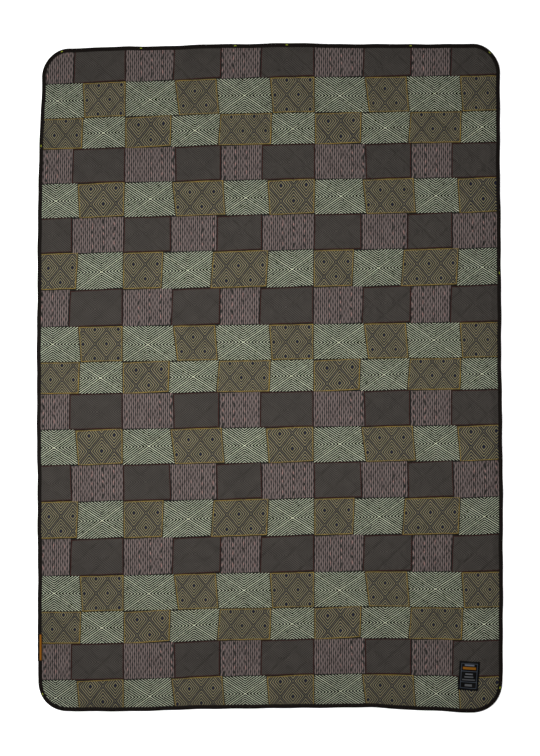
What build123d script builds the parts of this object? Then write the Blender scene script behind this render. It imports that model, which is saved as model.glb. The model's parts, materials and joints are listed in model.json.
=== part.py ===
from build123d import *
import math
import os

# A quilted camp blanket, spread flat on the ground, in millimetres.
# X runs across the blanket, Y along it and Z up. The origin is the centre of
# its underside. Two thin shells hold a layer of batting between them, crossing
# rows of stitching quilt the three together in diamonds, and one folded tape
# binds the edge. The blanket folds in half along the line x = 0, so all that
# crosses that line is made as a left and a right half.

# ------------------------------------------------------------ driving dimensions

WIDTH = 1372.0
LENGTH = 1956.0
CORNER_RADIUS = 86.0
LOFT = 10.0                 # height of the quilted middle
SHELL = 0.4                 # thickness of each shell fabric

BINDING_WIDTH = 12.0        # how far the tape reaches in from the edge
TAPE = 0.6                  # thickness of the tape
EDGE_HEIGHT = 4.0           # height of the bound edge, tape included
SLOPE_RUN = 25.0            # from the tape's inner edge to the full loft

FOLD_GAP = 0.3              # between the two halves, at the fold line

DIAMOND_WIDTH = 76.0        # one quilted diamond, corner to corner across
DIAMOND_LENGTH = 73.0       # and corner to corner along the blanket
THREAD_WIDTH = 0.8
THREAD_HEIGHT = 0.3

BINDING_SEAM = 10.0         # the tape's row of stitches, in from the edge

TACK_LENGTH = 5.5
TACK_WIDTH = 2.6
TACK_HEIGHT = 0.8
TACK_INSET = 4.5            # from the edge to the middle of a tack

TAB_WIDTH = 14.0            # woven tab sewn over the tape on the left edge
TAB_LENGTH = 79.0
TAB_HEIGHT = 0.8
TAB_HEM = 1.6               # its two rows of stitches, in from its ends
TAB_Y = -797.0

LABEL_WIDTH = 60.0
LABEL_LENGTH = 84.0
LABEL_HEIGHT = 0.8
LABEL_CENTRE = (588.0, -880.8)
LABEL_TURN = -2.8           # degrees, it is sewn on slightly askew
LABEL_SEAM = 2.5            # its row of stitches, in from its own edge

# ------------------------------------------------------------ derived dimensions

HALF_WIDTH = WIDTH / 2
HALF_LENGTH = LENGTH / 2
SHELL_EDGE = EDGE_HEIGHT - TAPE         # where the face comes out from under the tape
TAB_X = -HALF_WIDTH + TAB_WIDTH / 2

# Bar tacks along the tape: distances along the straight edges, and the angle
# round each corner's own centre, counted from +X.
TOP_TACKS = [-378.0, -100.0, 52.0, 417.0]
LEFT_TACK = 681.0
RIGHT_TACK = 307.0
CORNER_TACKS = {(-1, 1): 101.0, (1, 1): 52.0, (1, -1): -17.0, (-1, -1): 212.0}


# ------------------------------------------------------------------ shared shapes

def plate(inset, low, high):
    """The blanket's rounded outline, drawn in by inset, between two heights."""
    outline = RectangleRounded(WIDTH - 2 * inset, LENGTH - 2 * inset, CORNER_RADIUS - inset)
    return Pos(0, 0, low) * extrude(outline, amount=high - low)


def pad(inset, low, lift):
    """The lofted middle with its sloping rim, its upper surface raised by lift."""
    block = plate(inset, low, LOFT + lift)
    top = block.faces().sort_by(Axis.Z)[-1]
    return chamfer(top.edges(), length=SLOPE_RUN, length2=LOFT - SHELL_EDGE, reference=top)


def side(sign):
    """Everything on one side of the fold line: sign is -1 for left and 1 for right."""
    width = HALF_WIDTH + LOFT
    centre = sign * (FOLD_GAP / 2 + width / 2)
    return Pos(centre, 0, 0) * Box(width, LENGTH + 2 * LOFT, 10 * LOFT)


def shared(shape, tool):
    """The solids that two shapes have in common, which may be none."""
    common = shape & tool
    return list(common.solids()) if common else []


def export(solids, node):
    """Write the solids of one node to its own file."""
    export_step(Compound(children=solids, label=node), f"parts/{node}.step")


# ---------------------------------------------------------------------- sub-parts

def filling():
    """The batting: lofted in the middle and pressed flat under the tape."""
    middle = pad(BINDING_WIDTH + SHELL, SHELL, -SHELL)
    margin = plate(TAPE, TAPE + SHELL, SHELL_EDGE - SHELL)
    return middle + margin


def shells(batting):
    """The face and the back, which close on the batting from above and below."""
    wrapped = pad(BINDING_WIDTH, 0, 0) + plate(TAPE, TAPE, SHELL_EDGE)
    back, face = (wrapped - batting).solids().sort_by(Axis.Z)
    return face, back


def binding():
    """One tape folded over the edge: a channel that holds both shells' margins."""
    tape = plate(0, 0, EDGE_HEIGHT)
    held = plate(TAPE, TAPE, SHELL_EDGE)
    inside = plate(BINDING_WIDTH, -LOFT, LOFT)
    return tape - held - inside


def binding_seam():
    """The row of stitches near the tape's inner edge, all the way round."""
    high = EDGE_HEIGHT + THREAD_HEIGHT
    outer = plate(BINDING_SEAM - THREAD_WIDTH / 2, EDGE_HEIGHT, high)
    inner = plate(BINDING_SEAM + THREAD_WIDTH / 2, EDGE_HEIGHT, high)
    return outer - inner


def quilting(direction, level, room):
    """Every slanting row of stitches that runs one way over the face, within room.

    direction is 1 for the rows that rise to the right and -1 for those that
    fall. The rows that are sewn second lie one thread higher than the first.
    """
    lift = level * THREAD_HEIGHT
    layer = pad(BINDING_WIDTH, 0, lift + THREAD_HEIGHT) - pad(BINDING_WIDTH, 0, lift)
    layer = layer & room
    slope = math.degrees(math.atan2(DIAMOND_LENGTH, direction * DIAMOND_WIDTH))
    reach = math.hypot(WIDTH, LENGTH)
    rows = int((HALF_LENGTH + HALF_WIDTH * DIAMOND_LENGTH / DIAMOND_WIDTH) / DIAMOND_LENGTH)
    threads = []
    for row in range(-rows, rows + 1):
        line = Box(reach, THREAD_WIDTH, 10 * LOFT)
        placed = Pos(0, row * DIAMOND_LENGTH, 0) * Rot(0, 0, slope) * line
        threads.extend(shared(layer, placed))
    return threads


def tack(x, y, heading):
    """One bar tack: a short dense bar of stitches through the tape."""
    bar = extrude(SlotOverall(TACK_LENGTH, TACK_WIDTH), amount=TACK_HEIGHT)
    return Pos(x, y, EDGE_HEIGHT) * Rot(0, 0, heading) * bar


def bar_tacks():
    """All the bar tacks, each along the tape's middle."""
    across = HALF_WIDTH - TACK_INSET
    along = HALF_LENGTH - TACK_INSET
    tacks = [tack(x, along, 0) for x in TOP_TACKS]
    tacks.append(tack(-across, LEFT_TACK, 90))
    tacks.append(tack(across, RIGHT_TACK, 90))
    for (right, up), angle in CORNER_TACKS.items():
        reach = CORNER_RADIUS - TACK_INSET
        x = right * (HALF_WIDTH - CORNER_RADIUS) + reach * math.cos(math.radians(angle))
        y = up * (HALF_LENGTH - CORNER_RADIUS) + reach * math.sin(math.radians(angle))
        tacks.append(tack(x, y, angle + 90))
    return tacks


def side_tab(low, high):
    """The woven tab's footprint on the left edge, between two heights."""
    block = Box(TAB_WIDTH, TAB_LENGTH, high - low)
    return Pos(TAB_X, TAB_Y, (low + high) / 2) * block


def tab_seam():
    """A row of stitches across each end of the tab."""
    low = EDGE_HEIGHT + TAB_HEIGHT
    row = Box(TAB_WIDTH - 2 * TAB_HEM, THREAD_WIDTH, THREAD_HEIGHT)
    reach = TAB_LENGTH / 2 - TAB_HEM
    return [Pos(TAB_X, TAB_Y + end * reach, low + THREAD_HEIGHT / 2) * row for end in (-1, 1)]


def label(low, high, margin=0.0):
    """The label's footprint near the lower right corner, between two heights."""
    block = Box(LABEL_WIDTH - 2 * margin, LABEL_LENGTH - 2 * margin, high - low)
    return Pos(*LABEL_CENTRE, (low + high) / 2) * Rot(0, 0, LABEL_TURN) * block


def label_seam():
    """The frame of stitches that holds the label down."""
    low = LOFT + LABEL_HEIGHT
    high = low + THREAD_HEIGHT
    return label(low, high, LABEL_SEAM) - label(low - 1, high + 1, LABEL_SEAM + THREAD_WIDTH)


# ----------------------------------------------------------------------- assembly

def main():
    os.makedirs("parts", exist_ok=True)

    batting = filling()
    face, back = shells(batting)
    layers = {
        "face_shell": face,
        "batting": batting,
        "back_shell": back,
        "edge_binding": binding(),
        "binding_seam": binding_seam() - side_tab(0, 2 * LOFT),
    }
    covered = side_tab(0, 2 * LOFT) + label(0, 2 * LOFT)
    tacks = bar_tacks()

    for name, sign in (("left", -1), ("right", 1)):
        half = side(sign)
        for layer, shape in layers.items():
            export(shared(shape, half), f"{layer}_{name}")
        open_face = half - covered
        export(quilting(1, 0, open_face), f"quilting_rising_{name}")
        export(quilting(-1, 1, open_face), f"quilting_falling_{name}")
        export([piece for piece in tacks if piece.center().X * sign > 0], f"bar_tacks_{name}")

    export([side_tab(EDGE_HEIGHT, EDGE_HEIGHT + TAB_HEIGHT)], "side_tab")
    export(tab_seam(), "side_tab_seam")
    export([label(LOFT, LOFT + LABEL_HEIGHT)], "label_patch")
    export([label_seam()], "label_seam")


main()
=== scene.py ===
import json
import math
from types import SimpleNamespace

import bpy
import numpy as np
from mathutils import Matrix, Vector
from mathutils.bvhtree import BVHTree

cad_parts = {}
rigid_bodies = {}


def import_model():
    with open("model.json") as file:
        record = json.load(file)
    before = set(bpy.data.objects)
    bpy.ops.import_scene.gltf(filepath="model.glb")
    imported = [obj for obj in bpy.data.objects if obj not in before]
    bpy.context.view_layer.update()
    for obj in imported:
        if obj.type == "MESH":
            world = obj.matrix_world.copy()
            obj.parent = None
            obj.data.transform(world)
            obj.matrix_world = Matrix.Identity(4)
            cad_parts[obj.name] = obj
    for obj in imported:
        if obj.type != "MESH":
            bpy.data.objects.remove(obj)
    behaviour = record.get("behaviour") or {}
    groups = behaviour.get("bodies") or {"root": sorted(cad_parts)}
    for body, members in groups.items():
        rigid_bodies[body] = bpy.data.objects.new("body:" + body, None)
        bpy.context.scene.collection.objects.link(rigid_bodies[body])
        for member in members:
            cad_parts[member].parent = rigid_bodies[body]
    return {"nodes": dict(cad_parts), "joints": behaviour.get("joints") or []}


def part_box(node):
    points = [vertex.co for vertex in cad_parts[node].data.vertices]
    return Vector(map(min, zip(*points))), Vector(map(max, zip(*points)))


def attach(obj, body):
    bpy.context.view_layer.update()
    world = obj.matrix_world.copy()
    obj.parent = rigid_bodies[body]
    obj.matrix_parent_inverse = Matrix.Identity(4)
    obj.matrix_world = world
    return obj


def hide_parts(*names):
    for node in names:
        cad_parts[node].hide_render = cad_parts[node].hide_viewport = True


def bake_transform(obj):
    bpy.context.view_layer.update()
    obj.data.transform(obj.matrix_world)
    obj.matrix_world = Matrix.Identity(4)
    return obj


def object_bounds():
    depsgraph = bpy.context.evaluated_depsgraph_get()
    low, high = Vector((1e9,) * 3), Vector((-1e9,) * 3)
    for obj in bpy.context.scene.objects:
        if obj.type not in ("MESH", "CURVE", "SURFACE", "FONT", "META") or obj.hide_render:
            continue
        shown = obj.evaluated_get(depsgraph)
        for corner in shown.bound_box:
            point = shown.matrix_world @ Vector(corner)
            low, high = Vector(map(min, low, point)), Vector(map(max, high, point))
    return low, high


# The look of a quilted camp blanket, spread flat and seen from straight above.
# All sizes are in metres. X runs across the blanket, Y along it and Z up, and
# the fold is the line x = 0. Every shape is first made as a flat, straight-edged
# blanket, and settle() then gives it the slight sway of real cloth.

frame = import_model()
CAD_LOW, CAD_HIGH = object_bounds()

# ------------ sizes from the frame

HALF_WIDTH = CAD_HIGH.x
HALF_LENGTH = CAD_HIGH.y
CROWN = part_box("face_shell_left")[1].z          # top of the quilted middle
EDGE_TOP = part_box("edge_binding_left")[1].z     # top of the bound edge
TAB_LOW, TAB_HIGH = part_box("side_tab")
LABEL_LOW, LABEL_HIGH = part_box("label_patch")
FOLD = frame["joints"][0]
LEFT = FOLD["parent"]
RIGHT = FOLD["child"]

# ------------ named sizes

CORNER_RADIUS = 0.086
CORNER_X = HALF_WIDTH - CORNER_RADIUS       # the centre of a corner's arc
CORNER_Y = HALF_LENGTH - CORNER_RADIUS
BINDING = 0.012             # width of the tape on each side
BINDING_SEAM = 0.010        # the tape's row of stitches, in from the edge
TAPE = 0.0005               # thickness of the tape
EDGE_BOTTOM = 0.0013        # the bound edge is held just off the ground by the puffs
RIM = 0.025                 # the slope to the full loft
RIM_TUCK = 0.002            # it begins this far under the tape
TAPE_ROOM = 0.0003          # between the tape and the shells inside it
TUCK = 0.001                # gap between the tape's fold and the edge of the shells

DIAMOND_WIDTH = 0.076
DIAMOND_LENGTH = 0.073
FACE_VALLEY = 0.0052        # height of the face along a row of stitches
BACK_VALLEY = 0.0024        # height of the back along a row of stitches
PUFF_SWELL = 2.1            # the two powers that shape a puff across a diamond
PUFF_CREST = 0.72
PUFF_VARIES = 0.20          # how much flatter the flattest puffs are, as a share
CROWN_ROOM = 0.0002         # the highest puffs end this far under the CAD's top
RIPPLES = 9                 # waves that add up to the cloth's slight unevenness
RIPPLE_LENGTHS = (0.035, 0.11)
RIPPLE_DEPTH = 0.00035

FACE_STEP = 0.0042          # size of the face's mesh squares
CELLS = 8                   # mesh squares along one side of a quilted diamond, in the other layers
FILL_INSET = 0.008          # the batting ends inside the tape
FILL_LEAST = 0.25           # its share of the room between the shells, at the fold and the rim
FILL_MOST = 0.75            # and elsewhere
STITCH = 0.0058             # pitch of the quilting stitches
STITCH_SHARE = 0.74         # how much of the pitch the thread covers
SEAM_STITCH = 0.0045        # pitch of the stitches along the tape
SEAM_SHARE = 0.72
THREAD = 0.0008
THREAD_LIFT = 0.0004        # how far a stitch stands up from the cloth
THREAD_SINK = 0.0002        # how far its ends go into the cloth
THREAD_ENDS = (0.22, 0.78)  # it is full between these shares of its length
SEAM_RISE = 0.00005         # the quilting stitches start this far off the cloth
TACK_LENGTH = 0.0055
TACK_WIDTH = 0.0029
TACK_THREADS = 11
TACK_LIFT = 0.0006
TACK_LEAN = 0.0003          # its threads lean this far either way
TACK_OVERLAP = 1.25         # a thread's width for a spacing of 1
TACK_INSET = 0.0050
TAPE_STEP = 0.0045          # distance between the tape's sections
TAPE_ROUND = 0.8            # how far its fold reaches in, as a share of half its height
BEND = 0.024                # width each side of the fold line over which the batting is thinner

TAB_INSIDE = 0.0003         # the tab's two surfaces, out from the tape
TAB_OUTSIDE = 0.0009
TAB_HEM = 0.0016            # its rows of stitches, in from its ends
TAB_BAND = 0.0058           # width of its orange middle
TAB_BAND_CENTRE = 0.0080    # from the tab's outer edge
TAB_END = 0.0020            # the black at each of its ends
TAB_STITCH = 0.0028
TAB_STITCHES = 4
TAB_SHARE = 0.75
TAB_SEAM_START = 0.0015     # from the tab's outer edge

LABEL_WIDTH = 0.060
LABEL_LENGTH = 0.084
LABEL_TURN = math.radians(-2.8)
LABEL_INSIDE = 0.0002       # the label's two surfaces, up from the face
LABEL_OUTSIDE = 0.0007
LABEL_SEAM = 0.0025
LABEL_MESH = (31, 43)       # its mesh lines across and along
LABEL_PULLS = 200           # times it is drawn taut between its neighbours
LABEL_STITCH = 0.0030
LABEL_GAP = 0.12            # half the gap between two of its stitches, as a share of the pitch
LABEL_FRAME = 0.0068        # the thin frame on it, in from its edge
# Its plain bars: (place down the label as a share, width, height, colour).
LABEL_BARS = [
    (0.136, 0.028, 0.0046, "454950"),
    (0.240, 0.038, 0.0070, "633d08"),
    (0.345, 0.048, 0.0012, "3a3f47"),
    (0.440, 0.022, 0.0038, "46474a"),
    (0.538, 0.026, 0.0038, "3f4042"),
    (0.636, 0.038, 0.0036, "3a3b3d"),
    (0.712, 0.048, 0.0012, "363b42"),
    (0.822, 0.021, 0.0062, "3f4042"),
]

# Real cloth does not lie with straight edges: how far each edge sways outwards
# (along +X or +Y), as (distance along the edge, sway).
LEFT_SWAY = [
    (-0.98, 0.005), (-0.62, 0.004), (0.0, 0.001), (0.50, 0.004), (0.70, 0.009), (0.90, 0.017),
]
RIGHT_SWAY = [
    (-0.98, -0.001), (-0.80, 0.003), (-0.40, 0.003), (0.15, -0.002), (0.75, -0.006), (0.98, -0.005),
]
TOP_SWAY = [
    (-0.69, -0.011), (-0.40, -0.004), (-0.12, 0.003), (0.05, 0.006), (0.30, 0.003), (0.69, 0.004),
]
BOTTOM_SWAY = [
    (-0.69, -0.006), (-0.50, -0.008), (-0.05, 0.001), (0.28, 0.004), (0.45, -0.004), (0.60, -0.012),
]

# ------------ the print's layout

# The print shows hand-drawn patchwork. It repeats every four tiles across and every
# seven rows down. Each row is (length, first kind, second kind, the places of its
# three inner column lines at the row's top, the same at its bottom), from the
# repeat's left line. Column lines lean, so the tiles are never quite square.
REPEAT_WIDTH = 0.5627
REPEAT_LEFT = -0.433
PRINT_TILT = 0.011
FIRST_LINE = 0.8785         # the line under the first, cut-off row, at x = 0
ROWS = [
    (0.104, "sage", "gold", (0.148, 0.273, 0.431), (0.161, 0.281, 0.439)),
    (0.093, "gold", "sage", (0.139, 0.284, 0.437), (0.136, 0.276, 0.433)),
    (0.104, "mauve", "dark", (0.148, 0.285, 0.406), (0.150, 0.285, 0.404)),
    (0.104, "sage", "gold", (0.140, 0.292, 0.422), (0.154, 0.301, 0.430)),
    (0.105, "dark", "mauve", (0.139, 0.275, 0.409), (0.142, 0.276, 0.411)),
    (0.107, "gold", "sage", (0.120, 0.267, 0.430), (0.115, 0.258, 0.424)),
    (0.107, "mauve", "dark", (0.146, 0.289, 0.406), (0.142, 0.286, 0.402)),
]
# The print's lines are not evenly spaced: how far they slip along the blanket,
# and across it, as (distance along the blanket, slip). These follow the photograph.
ROW_SLIP = [
    (-0.95, -0.010), (-0.60, -0.007), (-0.20, -0.002), (0.10, 0.0), (0.38, 0.004), (0.80, 0.0),
]
COLUMN_SLIP = [
    (-0.95, 0.003), (-0.50, 0.003), (-0.20, 0.001), (0.35, 0.001), (0.60, 0.006), (0.90, 0.004),
]
SPLIT_ROW = 9               # each shell is cut in two below this row, for finer texture

TILE_TURN = 0.045           # each tile is drawn turned up to this much
TILE_SHIFT = (0.010, 0.008)     # how much the places of the tiles' motifs vary, across and along
CHEVRON_PITCH = 0.0067
CHEVRON_SLOPE = 0.68
LATTICE_WIDTH = 0.0710      # one nested diamond of the gold tiles, across and along
LATTICE_LENGTH = 0.087
LATTICE_RINGS = 10          # lines from one middle to the next
SWAY_PITCH = 0.0063         # the mauve tiles' lines
SWAY_LENGTH = 0.021
KNOT_WIDTH = 0.0326         # and their columns of specks
KNOT_LENGTH = 0.029
HATCH_PITCH = 0.0078        # the dark tiles' hatch
WEAVE_PITCH = 0.0009

# ------------ the camera and the studio

CAMERA_HEIGHT = 7.5
VIEW_LENGTH = 2.2290        # what the view takes in along the blanket, at the ground
VIEW_CENTRE = (0.0024, -0.0030)

FLOOR_REACH = 14.0
FLOOR_DROP = 0.0002         # it lies just under the blanket
FLOOR_TINT = (0.94, 0.94, 0.94, 1)
FLOOR_GLOW = 0.42           # its own light, which keeps it white round the blanket
WHITE = (1, 1, 1, 1)
SKY_LIGHT = 0.34
# Its lamps: (name, place, kind, energy, size).
LAMPS = [
    ("overhead", (-0.32, 0.0, 1.70), "AREA", 46, 1.2),
    ("key", (-2.6, 2.0, 2.6), "SUN", 1.4, 25),
]

# ------------ shape functions


def smooth(t):
    """A soft step from 0 to 1."""
    t = np.clip(t, 0, 1)
    return t * t * (3 - 2 * t)


def chance(i, j, salt=0.0):
    """A fixed random number from 0 to 1 for each pair of whole numbers."""
    wave = np.sin(i * 12.9898 + j * 78.233 + salt * 37.719) * 43758.5453
    return wave - np.floor(wave)


def swayed(points, at):
    """The sway at a distance along an edge, eased between the given points."""
    places, values = np.array(points).T
    at = np.clip(at, places[0], places[-1])
    k = np.clip(np.searchsorted(places, at, side="right") - 1, 0, len(places) - 2)
    part = smooth((at - places[k]) / (places[k + 1] - places[k]))
    return values[k] + (values[k + 1] - values[k]) * part


def settle(x, y):
    """Where a point of the straight-edged blanket ends up in the real one."""
    across = np.clip(x / HALF_WIDTH, -1, 1)
    along = np.clip(y / HALF_LENGTH, -1, 1)
    dx = swayed(LEFT_SWAY, y) * np.maximum(-across, 0) ** 2
    dx = dx + swayed(RIGHT_SWAY, y) * np.maximum(across, 0) ** 2
    dy = swayed(TOP_SWAY, x) * np.maximum(along, 0) ** 2
    dy = dy + swayed(BOTTOM_SWAY, x) * np.maximum(-along, 0) ** 2
    return x + dx, y + dy


def unsettled(x, y):
    """The point of the straight-edged blanket that ends up at a CAD place."""
    new_x, new_y = settle(x, y)
    return 2 * x - new_x, 2 * y - new_y


def inset_of(x, y):
    """How far a point lies inside the blanket's rounded outline."""
    across = np.abs(x) - CORNER_X
    along = np.abs(y) - CORNER_Y
    outside = np.hypot(np.maximum(across, 0), np.maximum(along, 0))
    return CORNER_RADIUS - outside - np.minimum(np.maximum(across, along), 0)


def seam_rows(x, y):
    """A point's place counted in rows of quilting, for each of its two directions."""
    return x / DIAMOND_WIDTH - y / DIAMOND_LENGTH, x / DIAMOND_WIDTH + y / DIAMOND_LENGTH


def puff(x, y):
    """The quilting's swell: 0 along each row of stitches and up to 1 mid-diamond."""
    rows = seam_rows(x, y)
    swell = 1.0
    for row in rows:
        nearness = 1 - 2 * np.abs(row - np.round(row))
        swell = swell * (1 - nearness ** PUFF_SWELL) ** PUFF_CREST
    fullness = 1 - PUFF_VARIES + PUFF_VARIES * chance(np.floor(rows[0]), np.floor(rows[1]))
    return swell * fullness


def ripple(x, y):
    """Slight unevenness that runs through the whole cloth, about -1 to 1."""
    random = np.random.default_rng(7)
    total = 0.0
    for _ in range(RIPPLES):
        angle = random.uniform(0, math.pi)
        length = random.uniform(*RIPPLE_LENGTHS)
        phase = random.uniform(0, math.tau)
        wave = (x * math.cos(angle) + y * math.sin(angle)) * math.tau / length
        total = total + np.sin(wave + phase)
    return total / 5


def rim_slope(x, y):
    """0 under the tape, and 1 where the loft is full."""
    return smooth((inset_of(x, y) - BINDING + RIM_TUCK) / RIM)


def face_height(x, y):
    """Height of the face's outer surface."""
    swell = puff(x, y)
    lofted = FACE_VALLEY + (CROWN - FACE_VALLEY - CROWN_ROOM) * swell
    lofted = lofted - RIPPLE_DEPTH * (1 + ripple(x, y)) * swell
    edge = EDGE_TOP - TAPE - TAPE_ROOM
    return edge + (lofted - edge) * rim_slope(x, y)


def back_height(x, y):
    """Height of the back's outer surface, which rests on the ground mid-diamond."""
    edge = EDGE_BOTTOM + TAPE + TAPE_ROOM
    return edge + (BACK_VALLEY * (1 - puff(x, y)) - edge) * rim_slope(x, y)


def outline(step):
    """The outline in steps, clockwise from the middle of the top edge.

    It gives spine points, which are the outline drawn in by the corner radius, and
    the angle of the outward direction at each, clockwise from +Y.
    """
    side, end = CORNER_X, CORNER_Y
    corners = [(0, end), (side, end), (side, -end), (-side, -end), (-side, end), (0, end)]
    arc_steps = round(CORNER_RADIUS * math.pi / 2 / step)
    spine = []
    angles = []
    for leg, (start, stop) in enumerate(zip(corners, corners[1:])):
        turned = leg * math.pi / 2
        steps = round(math.dist(start, stop) / step)
        for k in range(steps):
            spine.append([a + (b - a) * k / steps for a, b in zip(start, stop)])
            angles.append(turned)
        if leg < 4:
            spine.extend([stop] * arc_steps)
            angles.extend(turned + math.pi / 2 * k / arc_steps for k in range(arc_steps))
    return np.array(spine, float), np.array(angles)


def along_outline(spine, angles, inset):
    """The points of the outline at that inset."""
    reach = CORNER_RADIUS - inset
    return spine[:, 0] + np.sin(angles) * reach, spine[:, 1] + np.cos(angles) * reach


def walked_along(x, y):
    """How far along the line each of its points lies."""
    return np.concatenate([[0], np.cumsum(np.hypot(np.diff(x), np.diff(y)))])


# ------------ mesh helpers


def added(name, data):
    """A new object in the scene."""
    thing = bpy.data.objects.new(name, data)
    bpy.context.scene.collection.objects.link(thing)
    return thing


def keep(mesh, name, domain, vectors):
    """Stores a vector for each point or face of a mesh, for its material to read."""
    mesh.attributes.new(name, "FLOAT_VECTOR", domain).data.foreach_set("vector", vectors.ravel())


def build(name, points, groups, material):
    """A mesh object from points of the straight-edged blanket and groups of faces."""
    used = np.unique(np.concatenate([faces.ravel() for faces in groups]))
    points = np.asarray(points, float)[used]
    faces = [face for faces in groups for face in np.searchsorted(used, faces).tolist()]
    x, y = settle(points[:, 0], points[:, 1])
    mesh = bpy.data.meshes.new(name)
    mesh.from_pydata(np.column_stack([x, y, points[:, 2]]), [], faces)
    keep(mesh, "flat", "POINT", points)
    mesh.shade_smooth()
    mesh.materials.append(material)
    piece = added(name, mesh)
    return piece


def grid_faces(rows, columns):
    """Quads of a grid whose points run to the right along rows that go down the blanket."""
    k = np.arange((rows - 1) * columns).reshape(rows - 1, columns)[:, :-1].ravel()
    return np.column_stack([k, k + columns, k + columns + 1, k + 1])


def pulled_in(x, y, inset):
    """Points outside the rounded outline at that inset, moved straight onto it."""
    across = np.maximum(np.abs(x) - CORNER_X, 0)
    along = np.maximum(np.abs(y) - CORNER_Y, 0)
    reach = np.maximum(np.hypot(across, along), 1e-9)
    share = np.minimum((CORNER_RADIUS - inset) / reach, 1)
    return x - np.sign(x) * across * (1 - share), y - np.sign(y) * along * (1 - share)


def on_cloth(faces, x, y, inset):
    """The faces that reach inside the outline at that inset."""
    return (inset_of(x, y)[faces] > inset).any(axis=1)


# ------------ the face shell


def print_rows():
    """The print's rows down the blanket: (the row, its top line's place at x = 0, its bottom's)."""
    top = FIRST_LINE + ROWS[-1][0]
    rows = []
    while top > -HALF_LENGTH + BINDING:
        row = ROWS[(len(rows) - 1) % len(ROWS)]
        bottom = top - row[0]
        rows.append((row, top + swayed(ROW_SLIP, top), bottom + swayed(ROW_SLIP, bottom)))
        top = bottom
    return rows


def column_lines(row, top, bottom):
    """A row's column lines from left to right, at its top and at its bottom."""
    repeats = REPEAT_LEFT + REPEAT_WIDTH * np.arange(-1, 3)
    upper = (repeats[:, None] + np.array((0.0,) + row[3])).ravel()
    lower = (repeats[:, None] + np.array((0.0,) + row[4])).ravel()
    return upper + swayed(COLUMN_SLIP, top), lower + swayed(COLUMN_SLIP, bottom)


def mesh_guides(rows, base):
    """How the mesh follows the column lines.

    It gives the places of the mesh's upright lines at each row line, and, for each
    row, which upright line each column line runs along.
    """
    step = base[1] - base[0]
    pins = [dict() for _ in range(len(rows) + 1)]
    followed = []
    for number, row in enumerate(rows):
        chosen = []
        for top, bottom in zip(*column_lines(*row)):
            k = int(round(((top + bottom) / 2 - base[0]) / step))
            above = pins[number].get(k)
            if above is not None and abs(above - top) > step / 2:
                k += 1 if top > above else -1
            chosen.append(k)
            if 0 < k < len(base) - 1:
                pins[number][k] = top if above is None else (top + pins[number].get(k, top)) / 2
                pins[number + 1][k] = bottom
        followed.append(chosen)
    lines = []
    for pinned in pins:
        at = sorted(pinned)
        shifts = [pinned[k] - base[k] for k in at]
        ends = [0] + at + [len(base) - 1]
        lines.append(base + np.interp(np.arange(len(base)), ends, [0] + shifts + [0]))
    return lines, followed


def printed_sheet(name, first, last, materials):
    """The face shell from one row of the print to another, its tiles mapped for the print."""
    edge_x = HALF_WIDTH - TUCK
    edge_y = HALF_LENGTH - TUCK
    base = np.linspace(-edge_x, edge_x, round(2 * edge_x / FACE_STEP) + 1)
    rows = print_rows()
    lines, followed = mesh_guides(rows, base)
    xs, ys, row_of, tile_of = [], [], [], []
    for number in range(first, last):
        _, top, bottom = rows[number]
        if number == len(rows) - 1:
            bottom = -HALF_LENGTH
        steps = round((top - bottom) / FACE_STEP)
        for k in range(0 if number == first else 1, steps + 1):
            x = lines[number] + (lines[number + 1] - lines[number]) * k / steps
            y = np.clip(top + PRINT_TILT * x, -edge_y, edge_y) * (1 - k / steps)
            y = y + np.clip(bottom + PRINT_TILT * x, -edge_y, edge_y) * k / steps
            if number == len(rows) - 1 and k == steps:
                y = np.full_like(x, -edge_y)
            xs.append(x)
            ys.append(y)
        tiles = np.searchsorted(followed[number], np.arange(len(base) - 1), side="right") - 1
        row_of.append(np.full(steps * len(tiles), number))
        tile_of.append(np.tile(tiles, steps))
    count = len(xs)
    x, y = np.concatenate(xs), np.concatenate(ys)
    faces = grid_faces(count, len(base))
    kept = on_cloth(faces, x, y, TUCK)
    faces = faces[kept]
    row_of = np.concatenate(row_of)[kept]
    tile_of = np.concatenate(tile_of)[kept]
    x, y = pulled_in(x, y, TUCK)
    points = np.column_stack([x, y, face_height(x, y)])
    piece = build(name, points, [faces], materials[0])
    for material in materials[1:]:
        piece.data.materials.append(material)
    map_tiles(piece.data, x[faces], y[faces], row_of, tile_of, rows)
    return piece


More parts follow.
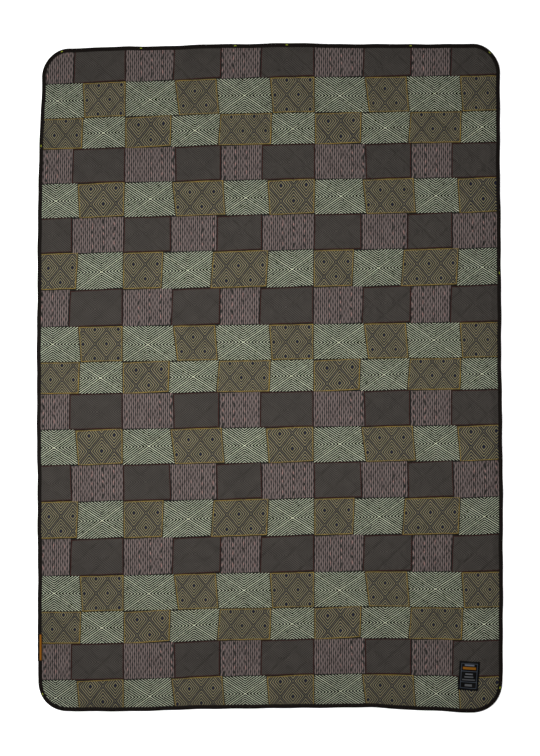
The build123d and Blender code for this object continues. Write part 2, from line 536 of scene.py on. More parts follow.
def map_tiles(mesh, x, y, row_of, tile_of, rows):
    """Gives each face its tile: its kind, its size, and each corner's place in the tile."""
    tops = np.array([top for _, top, _ in rows])[row_of]
    lengths = tops - np.array([bottom for _, _, bottom in rows])[row_of]
    line_top = np.array([column_lines(*row)[0] for row in rows])
    line_bottom = np.array([column_lines(*row)[1] for row in rows])
    down = (tops[:, None] + PRINT_TILT * x - y) / lengths[:, None]
    sides = []
    for line in (tile_of, tile_of + 1):
        upper, lower = line_top[row_of, line], line_bottom[row_of, line]
        sides.append((upper[:, None] + (lower - upper)[:, None] * down, (upper + lower) / 2))
    (left, left_middle), (right, right_middle) = sides
    middle_x = (left_middle + right_middle) / 2
    middle_y = tops - lengths / 2 + PRINT_TILT * middle_x
    row_kind = (row_of - 1) % len(ROWS)
    off_x = TILE_SHIFT[0] * (chance(row_kind, tile_of % 4, 1) - 0.5)
    off_y = TILE_SHIFT[1] * (chance(row_kind, tile_of % 4, 2) - 0.5)
    tile_uv = np.stack([(x - left) / (right - left), 1 - down], axis=-1)
    spot_x = x - (middle_x + off_x)[:, None]
    spot_y = y - (middle_y + off_y)[:, None]
    mesh.uv_layers.new(name="tile").data.foreach_set("uv", tile_uv.ravel())
    mesh.uv_layers.new(name="spot").data.foreach_set("uv", np.stack([spot_x, spot_y], axis=-1).ravel())
    size = np.column_stack([right_middle - left_middle, lengths, chance(row_kind, tile_of % 4)])
    keep(mesh, "cell", "FACE", size)
    names = np.array([[KINDS.index(row[1]), KINDS.index(row[2])] for row, _, _ in rows])
    mesh.polygons.foreach_set("material_index", names[row_of, tile_of % 2].astype(np.int32))
    mesh.update()


# ------------ the back and the batting


def quilted_grid(inset):
    """A grid along both directions of quilting, cut to the outline, with mesh lines on the seams.

    The back and the batting share it, so that neither comes through the other in the fold.
    """
    reach = math.ceil((HALF_WIDTH / DIAMOND_WIDTH + HALF_LENGTH / DIAMOND_LENGTH) * CELLS)
    steps = np.arange(-reach, reach + 1) / CELLS
    rising, falling = np.meshgrid(steps, steps)
    x = ((rising + falling) / 2 * DIAMOND_WIDTH).ravel()
    y = ((falling - rising) / 2 * DIAMOND_LENGTH).ravel()
    faces = grid_faces(len(steps), len(steps))[:, ::-1]
    faces = faces[on_cloth(faces, x, y, inset)]
    x, y = pulled_in(x, y, inset)
    return x, y, faces


def one_half(faces, y, upper):
    """The faces above, or if not upper below, the line where the sheets are cut in two."""
    above = y[faces].mean(axis=1) > SPLIT_Y
    return faces[above if upper else ~above]


def lining(name, upper, material):
    """One sheet of the back shell, which faces down."""
    x, y, faces = quilted_grid(TUCK)
    points = np.column_stack([x, y, back_height(x, y)])
    return build(name, points, [one_half(faces, y, upper)[:, ::-1]], material)


def open_edges(faces):
    """The edges that only one face has, each in that face's direction."""
    edges = np.concatenate([faces[:, [k, (k + 1) % 4]] for k in range(4)])
    codes = edges[:, 0] * (faces.max() + 1) + edges[:, 1]
    turned = edges[:, 1] * (faces.max() + 1) + edges[:, 0]
    return edges[~np.isin(codes, turned)]


def filling(name, upper, material):
    """One slab of batting, closed all round, between the two shells."""
    x, y, faces = quilted_grid(FILL_INSET)
    faces = one_half(faces, y, upper)
    top = face_height(x, y)
    bottom = back_height(x, y)
    middle = (top + bottom) / 2
    lofted = smooth(inset_of(x, y) / (BINDING + 2 * RIM)) * smooth(np.abs(x) / BEND)
    fill = FILL_LEAST + (FILL_MOST - FILL_LEAST) * lofted
    top = middle + (top - middle) * fill
    bottom = middle + (bottom - middle) * fill
    points = np.column_stack([np.tile(x, 2), np.tile(y, 2), np.concatenate([top, bottom])])
    return build(name, points, closed(faces, len(x)), material)


def closed(faces, count):
    """A plate's faces: the top, the bottom count points later, and the wall between."""
    rim = open_edges(faces)
    wall = np.column_stack([rim[:, 1], rim[:, 0], rim[:, 0] + count, rim[:, 1] + count])
    return [faces, faces[:, ::-1] + count, wall]


# ------------ the tape


def tape_section(reach, outer):
    """The folded tape's section as (inset, height), from its top inner edge round the fold."""
    low, high = EDGE_BOTTOM + outer, EDGE_TOP - outer
    middle = (low + high) / 2
    bulge = (high - low) / 2
    turn = np.radians(np.linspace(90, -90, 7))
    inset = outer + bulge * TAPE_ROUND * (1 - np.cos(turn))
    height = middle + bulge * np.sin(turn)
    # The points of each flat side, closest together by the row of stitches.
    straight = np.array([reach, reach * 0.92, BINDING_SEAM, BINDING_SEAM - 0.0015, 0.0055, 0.0032])
    inset = np.concatenate([straight, inset, straight[::-1]])
    height = np.concatenate([np.full_like(straight, high), height, np.full_like(straight, low)])
    return inset, height


def folded(reach, outer, inner):
    """The closed section of a tape folded over the edge, from its outer surface to its inner."""
    outer_inset, outer_height = tape_section(reach, outer)
    inner_inset, inner_height = tape_section(reach, inner)
    inset = np.concatenate([outer_inset, inner_inset[::-1]])
    return inset, np.concatenate([outer_height, inner_height[::-1]])


def swept(name, section_inset, section_height, spine, angles, puckers, material):
    """A closed C-shaped section swept along part of the outline, with its ends closed."""
    reach = CORNER_RADIUS - section_inset[None, :] + puckers[0][:, None]
    x = spine[:, 0, None] + np.sin(angles)[:, None] * reach
    y = spine[:, 1, None] + np.cos(angles)[:, None] * reach
    z = section_height[None, :] + puckers[1]
    rings, around = z.shape
    points = np.column_stack([x.ravel(), y.ravel(), z.ravel()])
    k = np.arange(rings - 1)[:, None] * around + np.arange(around)[None, :]
    following = np.arange(rings - 1)[:, None] * around + (np.arange(around)[None, :] + 1) % around
    faces = np.stack([k, following, following + around, k + around], axis=-1).reshape(-1, 4)
    j = np.arange(around // 2 - 1)
    cap = np.column_stack([j, around - 1 - j, around - 2 - j, j + 1])
    return build(name, points, [faces, cap, cap[:, ::-1] + (rings - 1) * around], material)


def edge_tape(name, spine, angles, along, material):
    """The binding: a tape folded over the edge, drawn in unevenly along its stitches."""
    inset, height = folded(BINDING, 0, TAPE)
    middle = (EDGE_TOP + EDGE_BOTTOM) / 2
    side = np.sign(height - middle)
    near_seam = np.exp(-((inset - BINDING_SEAM) / 0.0022) ** 2)
    pull = 0.55 + 0.25 * np.sin(along * 410) + 0.20 * np.sin(along * 173 + 2)
    dent = -0.00028 * near_seam * side * pull[:, None]
    sway = 0.0005 * np.sin(along * 23) + 0.0004 * np.sin(along * 61 + 1)
    crown = 0.00022 * np.exp(-((inset - 0.005) / 0.003) ** 2) * side
    wave = 0.0002 * (np.sin(along * 37 + 2) + np.sin(along * 91))[:, None]
    puckers = sway, dent + crown + wave * side
    return swept(name, inset, height, spine, angles, puckers, material)


# ------------ threads and tacks


def surface(pieces):
    """A way to find the height of these pieces at points of the straight-edged blanket."""
    bpy.context.view_layer.update()
    graph = bpy.context.evaluated_depsgraph_get()
    trees = [BVHTree.FromObject(piece, graph) for piece in pieces]

    def height(x, y, below=False):
        start, way = (-1.0, Vector((0, 0, 1))) if below else (1.0, Vector((0, 0, -1)))
        found = np.full(len(x), np.nan)
        for number, (px, py) in enumerate(zip(*settle(x, y))):
            for tree in trees:
                spot = tree.ray_cast(Vector((px, py, start)), way)[0]
                if spot is not None:
                    found[number] = spot.z
                    break
        return found

    return height


def laid_on(height, places, below=False, lift=0.0):
    """Points in plan, each given the height of the surface there."""
    return np.column_stack([places, height(places[:, 0], places[:, 1], below) + lift])


def grains(name, start, end, width, height, material, slot, facing=1):
    """Stitches: each is a tapered grain of thread between two points of the surface."""
    ok = ~np.isnan(start[:, 2] + end[:, 2])
    start, end = start[ok], end[ok]
    way = end - start
    length = np.linalg.norm(way, axis=1, keepdims=True)
    way = way / length
    side = np.column_stack([-way[:, 1], way[:, 0], np.zeros(len(way))]) * width / 2
    up = np.array([0, 0, height * facing])
    rings = []
    for share in THREAD_ENDS:
        centre = start + way * length * share
        rings += [centre + side, centre + up, centre - side, centre - up * 0.4]
    sink = np.array([0, 0, -THREAD_SINK * facing])
    points = np.stack([start + sink, *rings, end + sink], axis=1).reshape(-1, 3)
    base = np.arange(len(start))[:, None] * 10
    quads, tips = [], []
    for k in range(4):
        after = (k + 1) % 4
        quads.append(base + np.array([[1 + k, 5 + k, 5 + after, 1 + after]]))
        tips.append(base + np.array([[0, 1 + k, 1 + after]]))
        tips.append(base + np.array([[9, 5 + after, 5 + k]]))
    if facing < 0:
        quads = [q[:, ::-1] for q in quads]
        tips = [t[:, ::-1] for t in tips]
    return build(name, points, quads + tips, material)


def quilting_places(direction):
    """Where the quilting stitches of one direction lie: each stitch's two ends, in plan."""
    turned = math.atan2(DIAMOND_LENGTH, direction * DIAMOND_WIDTH)
    step = np.array([math.cos(turned), math.sin(turned)])
    reach = math.hypot(HALF_WIDTH, HALF_LENGTH)
    rows = int(HALF_LENGTH / DIAMOND_LENGTH + HALF_WIDTH / DIAMOND_WIDTH)
    starts = []
    for row in range(-rows, rows + 1):
        along = np.arange(-reach, reach, STITCH) + STITCH * chance(row, direction)
        starts.append(np.array([0, row * DIAMOND_LENGTH]) + along[:, None] * step)
    starts = np.concatenate(starts)
    ends = starts + step * STITCH * STITCH_SHARE
    middle = (starts + ends) / 2
    sewn = inset_of(middle[:, 0], middle[:, 1]) > BINDING + STITCH / 2
    return starts[sewn], ends[sewn]


LABEL_CENTRE = unsettled((LABEL_LOW.x + LABEL_HIGH.x) / 2, (LABEL_LOW.y + LABEL_HIGH.y) / 2)


def under_label(x, y):
    """True where the label covers the face."""
    centre_x, centre_y = LABEL_CENTRE
    across, along = x - centre_x, y - centre_y
    turned_x = across * math.cos(LABEL_TURN) + along * math.sin(LABEL_TURN)
    turned_y = along * math.cos(LABEL_TURN) - across * math.sin(LABEL_TURN)
    return (np.abs(turned_x) < LABEL_WIDTH / 2) & (np.abs(turned_y) < LABEL_LENGTH / 2)


def quilting(name, direction, height, upper, below, material):
    """One half's stitches of one direction, on the face or, if below, on the back."""
    starts, ends = quilting_places(direction)
    middle_y = (starts[:, 1] + ends[:, 1]) / 2
    here = (middle_y > SPLIT_Y) if upper else (middle_y <= SPLIT_Y)
    if not below:
        here &= ~under_label(starts[:, 0], starts[:, 1]) & ~under_label(ends[:, 0], ends[:, 1])
    starts, ends = starts[here], ends[here]
    facing = -1 if below else 1
    lift = SEAM_RISE * facing
    a = laid_on(height, starts, below, lift)
    b = laid_on(height, ends, below, lift)
    return grains(name, a, b, THREAD, THREAD_LIFT, material, "quilting_thread", facing)


def tape_stitches(name, spine, angles, height, material):
    """The row of stitches round the tape's inner edge, on the top and underneath."""
    x, y = along_outline(spine, angles, BINDING_SEAM)
    walked = walked_along(x, y)
    count = int(walked[-1] / SEAM_STITCH)
    at = (np.arange(count) + 0.15) * SEAM_STITCH
    pieces = []
    for suffix, below, facing in (("", False, 1), ("_under", True, -1)):
        ends = []
        for place in (at, at + SEAM_STITCH * SEAM_SHARE):
            places = np.column_stack([np.interp(place, walked, x), np.interp(place, walked, y)])
            ends.append(laid_on(height, places, below))
        sewn = grains(name + suffix, *ends, THREAD, THREAD_LIFT, material, "binding_thread", facing)
        pieces.append(sewn)
    return pieces


def tack_places(node):
    """The centre of each bar tack of a CAD node, from its points in groups a tack's length apart."""
    groups = []
    for vertex in frame["nodes"][node].data.vertices:
        point = np.array(vertex.co)
        near = [group for group in groups if math.dist(point[:2], group[0][:2]) < 1.5 * TACK_LENGTH]
        if near:
            near[0].append(point)
        else:
            groups.append([point])
    return [np.mean([np.min(group, axis=0), np.max(group, axis=0)], axis=0) for group in groups]


def tacks(name, places, height, material):
    """Bar tacks: short bars of dense stitches, side by side across the tape."""
    starts, ends = [], []
    for place in places:
        x, y = unsettled(place[0], place[1])
        beyond = np.array([
            max(abs(x) - CORNER_X, 0) * np.sign(x),
            max(abs(y) - CORNER_Y, 0) * np.sign(y),
        ])
        outward = beyond / math.hypot(*beyond)
        middle = np.array([x, y]) - beyond + outward * (CORNER_RADIUS - TACK_INSET)
        along = np.array([-outward[1], outward[0]])
        for k in range(TACK_THREADS):
            spot = middle + along * TACK_LENGTH * (k / (TACK_THREADS - 1) - 0.5)
            lean = along * TACK_LEAN * (-1) ** k
            starts.append(spot - outward * TACK_WIDTH / 2 - lean)
            ends.append(spot + outward * TACK_WIDTH / 2 + lean)
    starts, ends = np.array(starts), np.array(ends)
    a, b = laid_on(height, starts), laid_on(height, ends)
    width = TACK_LENGTH / TACK_THREADS * TACK_OVERLAP
    return grains(name, a, b, width, TACK_LIFT, material, "tack_thread")


# ------------ tab and label


TAB_REACH = (TAB_HIGH.y - TAB_LOW.y) / 2
TAB_MIDDLE = unsettled(TAB_LOW.x, TAB_LOW.y + TAB_REACH)[1]


def side_tab(name, material):
    """The woven tab, folded over the bound edge."""
    inset, height = folded(TAB_HIGH.x - TAB_LOW.x, -TAB_OUTSIDE, -TAB_INSIDE)
    y = TAB_MIDDLE + np.linspace(-TAB_REACH, TAB_REACH, 41)
    spine = np.column_stack([np.full(len(y), -CORNER_X), y])
    angles = np.full(len(y), -math.pi / 2)
    puckers = 0.0002 * np.sin(y * 190), 0.00008 * np.sin(y * 310)[:, None]
    return swept(name, inset, height, spine, angles, puckers, material)


def tab_stitches(name, height, material):
    """A row of stitches across each end of the tab."""
    starts = []
    for end in (-1, 1):
        y = TAB_MIDDLE + end * (TAB_REACH - TAB_HEM)
        starts += [(TAB_LOW.x + TAB_SEAM_START + TAB_STITCH * k, y) for k in range(TAB_STITCHES)]
    starts = np.array(starts)
    ends = starts + np.array([TAB_STITCH * TAB_SHARE, 0])
    a, b = laid_on(height, starts), laid_on(height, ends)
    return grains(name, a, b, THREAD, THREAD_LIFT, material, "binding_thread")


def on_label(across, along):
    """Points of the blanket from distances across and along the label, from its centre."""
    x = LABEL_CENTRE[0] + across * math.cos(LABEL_TURN) - along * math.sin(LABEL_TURN)
    y = LABEL_CENTRE[1] + across * math.sin(LABEL_TURN) + along * math.cos(LABEL_TURN)
    return x, y


def label_patch(name, height, material):
    """The label, sewn down along its edges and drawn taut over the puffs between them."""
    columns, rows = LABEL_MESH
    across, along = np.meshgrid(
        np.linspace(-LABEL_WIDTH / 2, LABEL_WIDTH / 2, columns),
        np.linspace(LABEL_LENGTH / 2, -LABEL_LENGTH / 2, rows),
    )
    x, y = on_label(across, along)
    below = height(x.ravel(), y.ravel()).reshape(rows, columns)
    lies = below.copy()
    for _ in range(LABEL_PULLS):
        taut = (lies[:-2, 1:-1] + lies[2:, 1:-1] + lies[1:-1, :-2] + lies[1:-1, 2:]) / 4
        lies[1:-1, 1:-1] = np.maximum(taut, below[1:-1, 1:-1])
    x, y, lies = x.ravel(), y.ravel(), lies.ravel()
    faces = closed(grid_faces(rows, columns), len(x))
    heights = np.concatenate([lies + LABEL_OUTSIDE, lies + LABEL_INSIDE])
    points = np.column_stack([np.tile(x, 2), np.tile(y, 2), heights])
    piece = build(name, points, faces, material)
    spot = np.column_stack([np.tile([across.ravel(), along.ravel()], 2).T, np.zeros(2 * len(x))])
    keep(piece.data, "spot", "POINT", spot)
    return piece


def label_stitches(name, height, material):
    """A frame of stitches just inside the label's edge."""
    half_x, half_y = LABEL_WIDTH / 2 - LABEL_SEAM, LABEL_LENGTH / 2 - LABEL_SEAM
    signs = [(-1, 1), (1, 1), (1, -1), (-1, -1), (-1, 1)]
    corners = [(half_x * right, half_y * up) for right, up in signs]
    starts, ends = [], []
    for a, b in zip(corners, corners[1:]):
        count = round(math.dist(a, b) / LABEL_STITCH)
        way = (np.array(b) - np.array(a)) / count
        for k in range(count):
            starts.append(np.array(a) + way * (k + LABEL_GAP))
            ends.append(np.array(a) + way * (k + 1 - LABEL_GAP))
    rows = []
    for places in (np.array(starts), np.array(ends)):
        rows.append(laid_on(height, np.column_stack(on_label(*places.T))))
    return grains(name, *rows, THREAD * 0.75, THREAD_LIFT * 0.5, material, "label_thread")


# ------------ material helpers


def paint(code):
    """A colour from its usual six-figure code, as the linear values that shaders take."""
    parts = [int(code[k:k + 2], 16) / 255 for k in (0, 2, 4)]
    linear = [c / 12.92 if c <= 0.04045 else ((c + 0.055) / 1.055) ** 2.4 for c in parts]
    return (*linear, 1.0)


def plug(tree, entry, value):
    """Gives a node's entry another node's result, a plain number, or a colour by its code."""
    if isinstance(value, Term):
        tree.links.new(value.socket, entry)
    else:
        entry.default_value = paint(value) if isinstance(value, str) else value


class Term:
    """A value in a material's nodes. Arithmetic on it adds the nodes that work it out."""

    def __init__(self, tree, socket):
        self.tree = tree
        self.socket = socket

    def node(self, kind, entries, output=0, **settings):
        """The result of a new node with these settings and with these values in its entries."""
        node = self.tree.nodes.new("ShaderNode" + kind)
        for name, value in settings.items():
            setattr(node, name, value)
        for entry, value in entries.items():
            plug(self.tree, node.inputs[entry], value)
        return Term(self.tree, node.outputs[output])

    def math(self, operation, *others):
        return self.node("Math", dict(enumerate((self, *others))), operation=operation)

    def wave(self):
        """The cosine of this many whole turns, from -1 to 1."""
        return (self * math.tau).math("COSINE")

    def step(self, low, high):
        """0 where this is at low and 1 where it is at high, eased between."""
        entries = {"Value": self, "From Min": low, "From Max": high}
        return self.node("MapRange", entries, "Result", interpolation_type="SMOOTHSTEP")

    def mix(self, first, second):
        """The first colour where this is 0 and the second where it is 1."""
        return self.node("Mix", {0: self, 6: first, 7: second}, 2, data_type="RGBA")


def worked(operation):
    """A method of Term that works out that operation."""
    return lambda self, *others: self.math(operation, *others)


for method, operation in (
    ("__add__", "ADD"),
    ("__sub__", "SUBTRACT"),
    ("__mul__", "MULTIPLY"),
    ("__truediv__", "DIVIDE"),
    ("__abs__", "ABSOLUTE"),
    ("fraction", "FRACT"),
    ("least", "MINIMUM"),
    ("most", "MAXIMUM"),
):
    setattr(Term, method, worked(operation))


def parts(material, name):
    """The three numbers of a mesh attribute or UV map."""
    tree = material.node_tree
    source = tree.nodes.new("ShaderNodeAttribute")
    source.attribute_name = name
    split = tree.nodes.new("ShaderNodeSeparateXYZ")
    tree.links.new(source.outputs["Vector"], split.inputs[0])
    return [Term(tree, socket) for socket in split.outputs]


def noise(x, y, z, scale, detail=2.0):
    """Soft noise, mostly from 0.3 to 0.7, with that many lumps to a metre."""
    place = x.node("CombineXYZ", {0: x, 1: y, 2: z})
    return x.node("TexNoise", {"Vector": place, "Scale": scale, "Detail": detail})


def cloth(name, roughness, sheen=0.0, gloss=0.3):
    """A new material."""
    material = bpy.data.materials.new(name)
    material.use_nodes = True
    shader = material.node_tree.nodes["Principled BSDF"]
    shader.inputs["Roughness"].default_value = roughness
    shader.inputs["Specular IOR Level"].default_value = gloss
    shader.inputs["Sheen Weight"].default_value = sheen
    shader.inputs["Sheen Roughness"].default_value = 0.5
    return material


def dressed(material, colour, tone, roughness, relief, distance):
    """The material with its colour made lighter or darker by a term about 1, and with bump.

    The bump is that distance deep for a relief of 1.
    """
    tree = material.node_tree
    shader = tree.nodes["Principled BSDF"]
    plug(tree, shader.inputs["Base Color"], toned(colour, tone))
    plug(tree, shader.inputs["Roughness"], roughness)
    plug(tree, shader.inputs["Normal"], relief.node("Bump", {"Distance": distance, "Height": relief}))
    return material


def toned(colour, amount):
    """A colour made lighter or darker by a term about 1."""
    if isinstance(colour, str):
        colour = paint(colour)[:3]
    return amount.node("VectorMath", {0: colour, "Scale": amount}, operation="SCALE")


def seam_distance(x, y):
    """The distance to the nearest row of quilting stitches."""
    spacing = 1 / math.hypot(1 / DIAMOND_WIDTH, 1 / DIAMOND_LENGTH)
    near = [abs((row + 0.5).fraction() - 0.5) * spacing for row in seam_rows(x, y)]
    return near[0].least(near[1])


# ------------ the materials


def sage_print(tile):
    """Cream chevrons nested towards the tile's middle, on dark green."""
    stripe = (abs(tile.y + tile.wobble * 0.5) - abs(tile.x) * CHEVRON_SLOPE) / CHEVRON_PITCH
    cream = stripe.wave().step(0.56, 1.0)
    arms = abs(stripe).step(0.60, 0.30)
    line = arms.mix("b0b8a2", "c8d0b6")
    return cream.mix("040603", line)


def gold_print(tile):
    """A lattice of nested diamonds in old gold and navy, with a brighter outline."""
    grown = tile.seed * 0.12 + 0.94
    x = tile.x / grown / LATTICE_WIDTH + tile.seed
    y = (tile.y + tile.wobble) / grown / LATTICE_LENGTH + tile.seed * 7.3
    depth = abs((x + y).fraction() - 0.5).most(abs((x - y).fraction() - 0.5))
    gold = (depth * LATTICE_RINGS - 0.1).wave().step(0.0, 0.85) * depth.step(0.060, 0.080)
    moat = (abs(depth - 0.365) - 0.025).step(0.008, -0.008)
    lattice = (gold * (moat * -0.85 + 1)).mix("0f111f", "706a4c")
    edge = tile.border.step(0.0042, 0.0032) * (tile.wobble * 400 + 0.7)
    return edge.mix(lattice, "6d5a1f")


def mauve_print(tile):
    """Upright lines that sway together and apart, in faded mauve, with columns of specks."""
    sway = (tile.y / SWAY_LENGTH + tile.seed).wave() * (tile.x / SWAY_PITCH / 2).wave()
    line = (tile.x / SWAY_PITCH + sway * 0.18 + tile.wobble * 190).wave().step(-0.8, 0.6)
    column = (tile.x / KNOT_WIDTH + tile.seed).wave().step(0.90, 0.99)
    speck = (tile.y / KNOT_LENGTH + tile.wobble * 400).wave()
    mauve = (column * speck.step(0.2, 0.9)).mix("605553", "7f6460")
    mauve = (column * speck.step(-0.2, -0.9)).mix(mauve, "141613")
    return line.mix("201e1c", mauve)


def dark_print(tile):
    """Warm grey with a faint uneven hatch and a thin maroon outline."""
    hatch = ((abs(tile.x) - abs(tile.y) * 1.2 + tile.wobble) / HATCH_PITCH).wave()
    grey = (hatch * (tile.wobble * 450 + 0.40) + 0.5).mix("1e1c1a", "3c3834")
    return tile.border.step(0.0042, 0.0030).mix(grey, "260e0b")


PRINTS = {"mauve": mauve_print, "dark": dark_print, "sage": sage_print, "gold": gold_print}
KINDS = list(PRINTS)


def printed_cloth(kind):
    """The face shell's cloth with one kind of tile printed on it, with random fading and painted shade
    along its crumples and its rows of stitches.
    """
    material = cloth("print_" + kind, 0.62, gloss=0.08)
    u, v, _ = parts(material, "tile")
    x, y, _ = parts(material, "spot")
    width, length, seed = parts(material, "cell")
    flat_x, flat_y, _ = parts(material, "flat")
    wobble = (noise(x, y, seed * 9, 28, 1) - 0.5) * 0.0030
    turn = seed * TILE_TURN
    turned = v - (u - 0.5) * turn * width / length
    across = u.least(u * -1 + 1) * width
    along = turned.least(turned * -1 + 1) * length
    border = across.least(along) + wobble * 0.6
    tile = SimpleNamespace(x=x, y=y - x * turn, seed=seed, wobble=wobble, border=border)
    colour = PRINTS[kind](tile)
    colour = border.step(0.0016, 0.0008).mix(colour, "100e0c")

    away = seam_distance(flat_x, flat_y)
    crease = away.step(0.0025, 0)
    patches = noise(flat_x, flat_y, 0.3, 7, 3)
    pucker = noise(flat_x, flat_y, 0.7, 85, 2) * away.step(0.022, 0.004)
    crumple = noise(flat_x, flat_y, 0.1, 34, 2)
    # The tone: random fading from the patches, plus painted shade that follows the crumples and
    # darkens the cloth along the rows of stitches.
    fading_and_painted_shade = patches * 0.24 + crumple * 0.40 + 0.68 - crease * 0.05
    weave = (flat_x / WEAVE_PITCH).wave() * (flat_y / WEAVE_PITCH).wave() * 0.04
    relief = pucker * 1.4 + crumple * 1.1 - crease * 0.25 + weave
    return dressed(material, colour, fading_and_painted_shade, patches * 0.22 + 0.50, relief, 0.0035)


def plain_cloth(name, colour, roughness, lumps, pitch, gloss=0.3, sheen=0.0, seams=False):
    """A plain woven cloth with slight unevenness in its colour and, with seams, painted shade along
    its rows of quilting stitches.
    """
    material = cloth(name, roughness, sheen, gloss)
    x, y, z = parts(material, "flat")
    patches = noise(x, y, z, lumps, 3)
    tone = patches * 0.5 + 0.75
    weave = (x / pitch).wave() * (y / pitch).wave()
    relief = weave * 0.25 + patches
    if seams:
        crease = seam_distance(x, y).step(0.0030, 0)
        # Painted shade: the colour is darkened along the rows of quilting stitches.
        tone = tone - crease * 0.2
        relief = relief - crease * 0.4
    uneven = patches * 0.2 + (roughness - 0.1)
    return dressed(material, colour, tone + weave * 0.06, uneven, relief, pitch * 0.3)


def twisted_thread(name, colour):
    """Sewing thread: a twist of fine strands with a slight shine."""
    material = cloth(name, 0.5, gloss=0.12)
    x, y, z = parts(material, "flat")
    twist = ((x + y) / 0.0007).wave()
    patches = noise(x, y, z, 160, 2)
    tone = twist * 0.12 + patches * 0.5 + 0.75
    return dressed(material, colour, tone, patches * 0.3 + 0.3, twist, 0.0001)


def tab_webbing():
    """The tab's webbing: an orange middle between black selvedges, with woven ribs."""
    material = cloth("tab_webbing", 0.6, gloss=0.08)
    x, y, z = parts(material, "flat")
    across = abs(x - (TAB_LOW.x + TAB_BAND_CENTRE)) - TAB_BAND / 2
    along = abs(y - TAB_MIDDLE) - (TAB_REACH - TAB_END)
    band = across.most(along).step(0.0003, -0.0003)
    ribs = (y / 0.0013).wave()
    threads = noise(x, y, z, 420, 2)
    colour = band.mix("0b0806", "6f4200")
    tone = ribs * 0.10 + threads * 0.5 + 0.75
    return dressed(material, colour, tone, threads * 0.3 + 0.45, ribs * 0.6 + threads, 0.00025)


def label_cloth():
    """The label's satin: black, with a thin frame, two dividers and plain bars."""
    material = cloth("label_cloth", 0.5, gloss=0.05)
    x, y, _ = parts(material, "spot")
    soft = 0.0004           # how softly the lines and bars end
    edge = (abs(x) - LABEL_WIDTH / 2).most(abs(y) - LABEL_LENGTH / 2) * -1
    frame_line = (abs(edge - LABEL_FRAME) - 0.0005).step(soft, -soft)
    colour = frame_line.mix("040404", "3a3f47")
    for at, wide, tall, tone in LABEL_BARS:
        up = LABEL_LENGTH * (0.5 - at)
        bar = (abs(x) - wide / 2).most(abs(y - up) - tall / 2).step(soft, -soft)
        colour = bar.mix(colour, tone)
    satin = noise(x * 4, y, 0.0, 700, 2)
    return dressed(material, colour, satin * 0.5 + 0.75, satin * 0.3 + 0.35, satin, 0.00015)


def felted(name, colour):
    """Batting: a mat of loose grey fibres."""
    material = cloth(name, 0.9, sheen=0.1)
    x, y, z = parts(material, "flat")
    fibres = noise(x, y, z * 3, 260, 6)
    return dressed(material, colour, fibres * 0.4 + 0.8, fibres * 0.2 + 0.8, fibres, 0.0008)


# ------------ the studio


def aim(thing, target):
    """Turns a light or camera to look at a point."""
    thing.rotation_euler = (Vector(target) - thing.location).to_track_quat("-Z", "Y").to_euler()


def soft_light(name, place, kind, energy, size):
    """A soft light over the blanket. A sun's size is its spread in degrees."""
    light = bpy.data.lights.new(name, kind)
    light.energy = energy
    if kind == "SUN":
        light.angle = math.radians(size)
    else:
        light.shape = "DISK"
        light.size = size
    lamp = added(name, light)
    lamp.location = place
    lamp.visible_camera = False
    aim(lamp, (place[0], place[1], 0) if kind == "AREA" else (0, 0, 0))


def studio():
    """A pale floor that glows a little, the lamps, and even light from all round."""
    scene = bpy.context.scene
    mesh = bpy.data.meshes.new("floor")
    signs = [(-1, -1), (1, -1), (1, 1), (-1, 1)]
    corners = [(FLOOR_REACH * x, FLOOR_REACH * y, -FLOOR_DROP) for x, y in signs]
    mesh.from_pydata(corners, [], [(0, 1, 2, 3)])
    floor = added("floor", mesh)
    material = cloth("floor", 0.85, gloss=0.1)
    shader = material.node_tree.nodes["Principled BSDF"]
    shader.inputs["Base Color"].default_value = FLOOR_TINT
    shader.inputs["Emission Color"].default_value = WHITE
    shader.inputs["Emission Strength"].default_value = FLOOR_GLOW
    mesh.materials.append(material)

    world = bpy.data.worlds.new("studio")
    world.use_nodes = True
    sky = world.node_tree.nodes["Background"]
    sky.inputs["Color"].default_value = WHITE
    sky.inputs["Strength"].default_value = SKY_LIGHT
    scene.world = world
    for lamp in LAMPS:
        soft_light(*lamp)
    scene.view_settings.view_transform = "Standard"


def overhead_camera():
    """Straight above the blanket, as high as a product photograph is taken from."""
    camera = bpy.data.cameras.new("camera")
    camera.sensor_width = 36.0
    camera.lens = camera.sensor_width * CAMERA_HEIGHT / VIEW_LENGTH
    camera.clip_end = 100
    stand = added("camera", camera)
    stand.location = (VIEW_CENTRE[0], VIEW_CENTRE[1], CAMERA_HEIGHT)
    bpy.context.scene.camera = stand


# ------------ the blanket

SPLIT_Y = print_rows()[SPLIT_ROW][2]

prints = [printed_cloth(kind) for kind in KINDS]
lining_cloth = plain_cloth("lining_cloth", "2c2b29", 0.60, 7, 0.0011, seams=True, gloss=0.2)
tape_cloth = plain_cloth("tape_cloth", "0a0604", 0.60, 30, 0.0008, gloss=0.04)
fibre = felted("fibre", "77756f")
dark_thread = twisted_thread("dark_thread", "2f2c28")
tape_thread = twisted_thread("tape_thread", "120f0d")
yellow_thread = twisted_thread("yellow_thread", "a4b02a")
grey_thread = twisted_thread("grey_thread", "080808")

face_upper = printed_sheet("face_upper", 0, SPLIT_ROW + 1, prints)
face_lower = printed_sheet("face_lower", SPLIT_ROW + 1, len(print_rows()), prints)
back_upper = lining("back_upper", True, lining_cloth)
back_lower = lining("back_lower", False, lining_cloth)
batting_upper = filling("batting_upper", True, fibre)
batting_lower = filling("batting_lower", False, fibre)

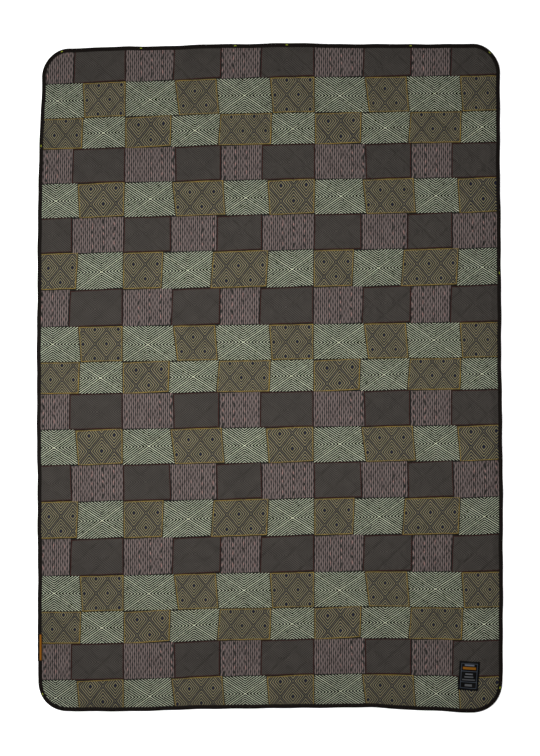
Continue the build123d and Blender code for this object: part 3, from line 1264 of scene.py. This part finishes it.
spine, angles = outline(TAPE_STEP)
path_x, path_y = along_outline(spine, angles, 0)
walked = walked_along(path_x, path_y)
down = int(np.argmax((angles == math.pi / 2) & (path_y < SPLIT_Y)))
up = int(np.argmax((angles == 3 * math.pi / 2) & (path_y > SPLIT_Y)))
lower_run = np.arange(down, up + 1)
upper_run = np.concatenate([np.arange(up, len(spine)), np.arange(0, down + 1)])
runs = {"upper": upper_run, "lower": lower_run}
tapes = {}
for half, run in runs.items():
    tapes[half] = edge_tape("binding_" + half, spine[run], angles[run], walked[run], tape_cloth)

tab = side_tab("tab", tab_webbing())
face_at = surface([face_upper, face_lower])
back_at = surface([back_upper, back_lower])
tape_at = surface([tab, *tapes.values()])
label = label_patch("label", face_at, label_cloth())
label_at = surface([label])

threads = {"binding_seam": [], "quilting_rising": [], "quilting_falling": []}
for half, run in runs.items():
    for name, direction in (("rising", 1), ("falling", -1)):
        for layer, surface_at, below in (("quilting", face_at, False), ("back", back_at, True)):
            part = f"{layer}_{name}_{half}"
            sewn = quilting(part, direction, surface_at, half == "upper", below, dark_thread)
            threads["quilting_" + name].append(sewn)
    part = f"binding_stitches_{half}"
    threads["binding_seam"] += tape_stitches(part, spine[run], angles[run], tape_at, tape_thread)

tacks_left = tacks("tacks_left", tack_places("bar_tacks_left"), tape_at, yellow_thread)
tacks_right = tacks("tacks_right", tack_places("bar_tacks_right"), tape_at, yellow_thread)
tab_thread = tab_stitches("tab_stitches", tape_at, tape_thread)
label_thread = label_stitches("label_stitches", label_at, grey_thread)

# ------------ the CAD parts that the pieces stand in for are hidden, and the small pieces are parented to their bodies

crossing = {
    "face_shell": [face_upper, face_lower],
    "back_shell": [back_upper, back_lower],
    "batting": [batting_upper, batting_lower],
    "edge_binding": list(tapes.values()),
    **threads,
}
for node, pieces in crossing.items():
    for piece in pieces:
        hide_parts(node + "_left", node + "_right")
        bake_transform(piece)

for piece, node, body in (
    (tacks_left, "bar_tacks_left", LEFT),
    (tacks_right, "bar_tacks_right", RIGHT),
    (tab, "side_tab", LEFT),
    (tab_thread, "side_tab_seam", LEFT),
    (label, "label_patch", RIGHT),
    (label_thread, "label_seam", RIGHT),
):
    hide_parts(node)
    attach(piece, body)

studio()
overhead_camera()
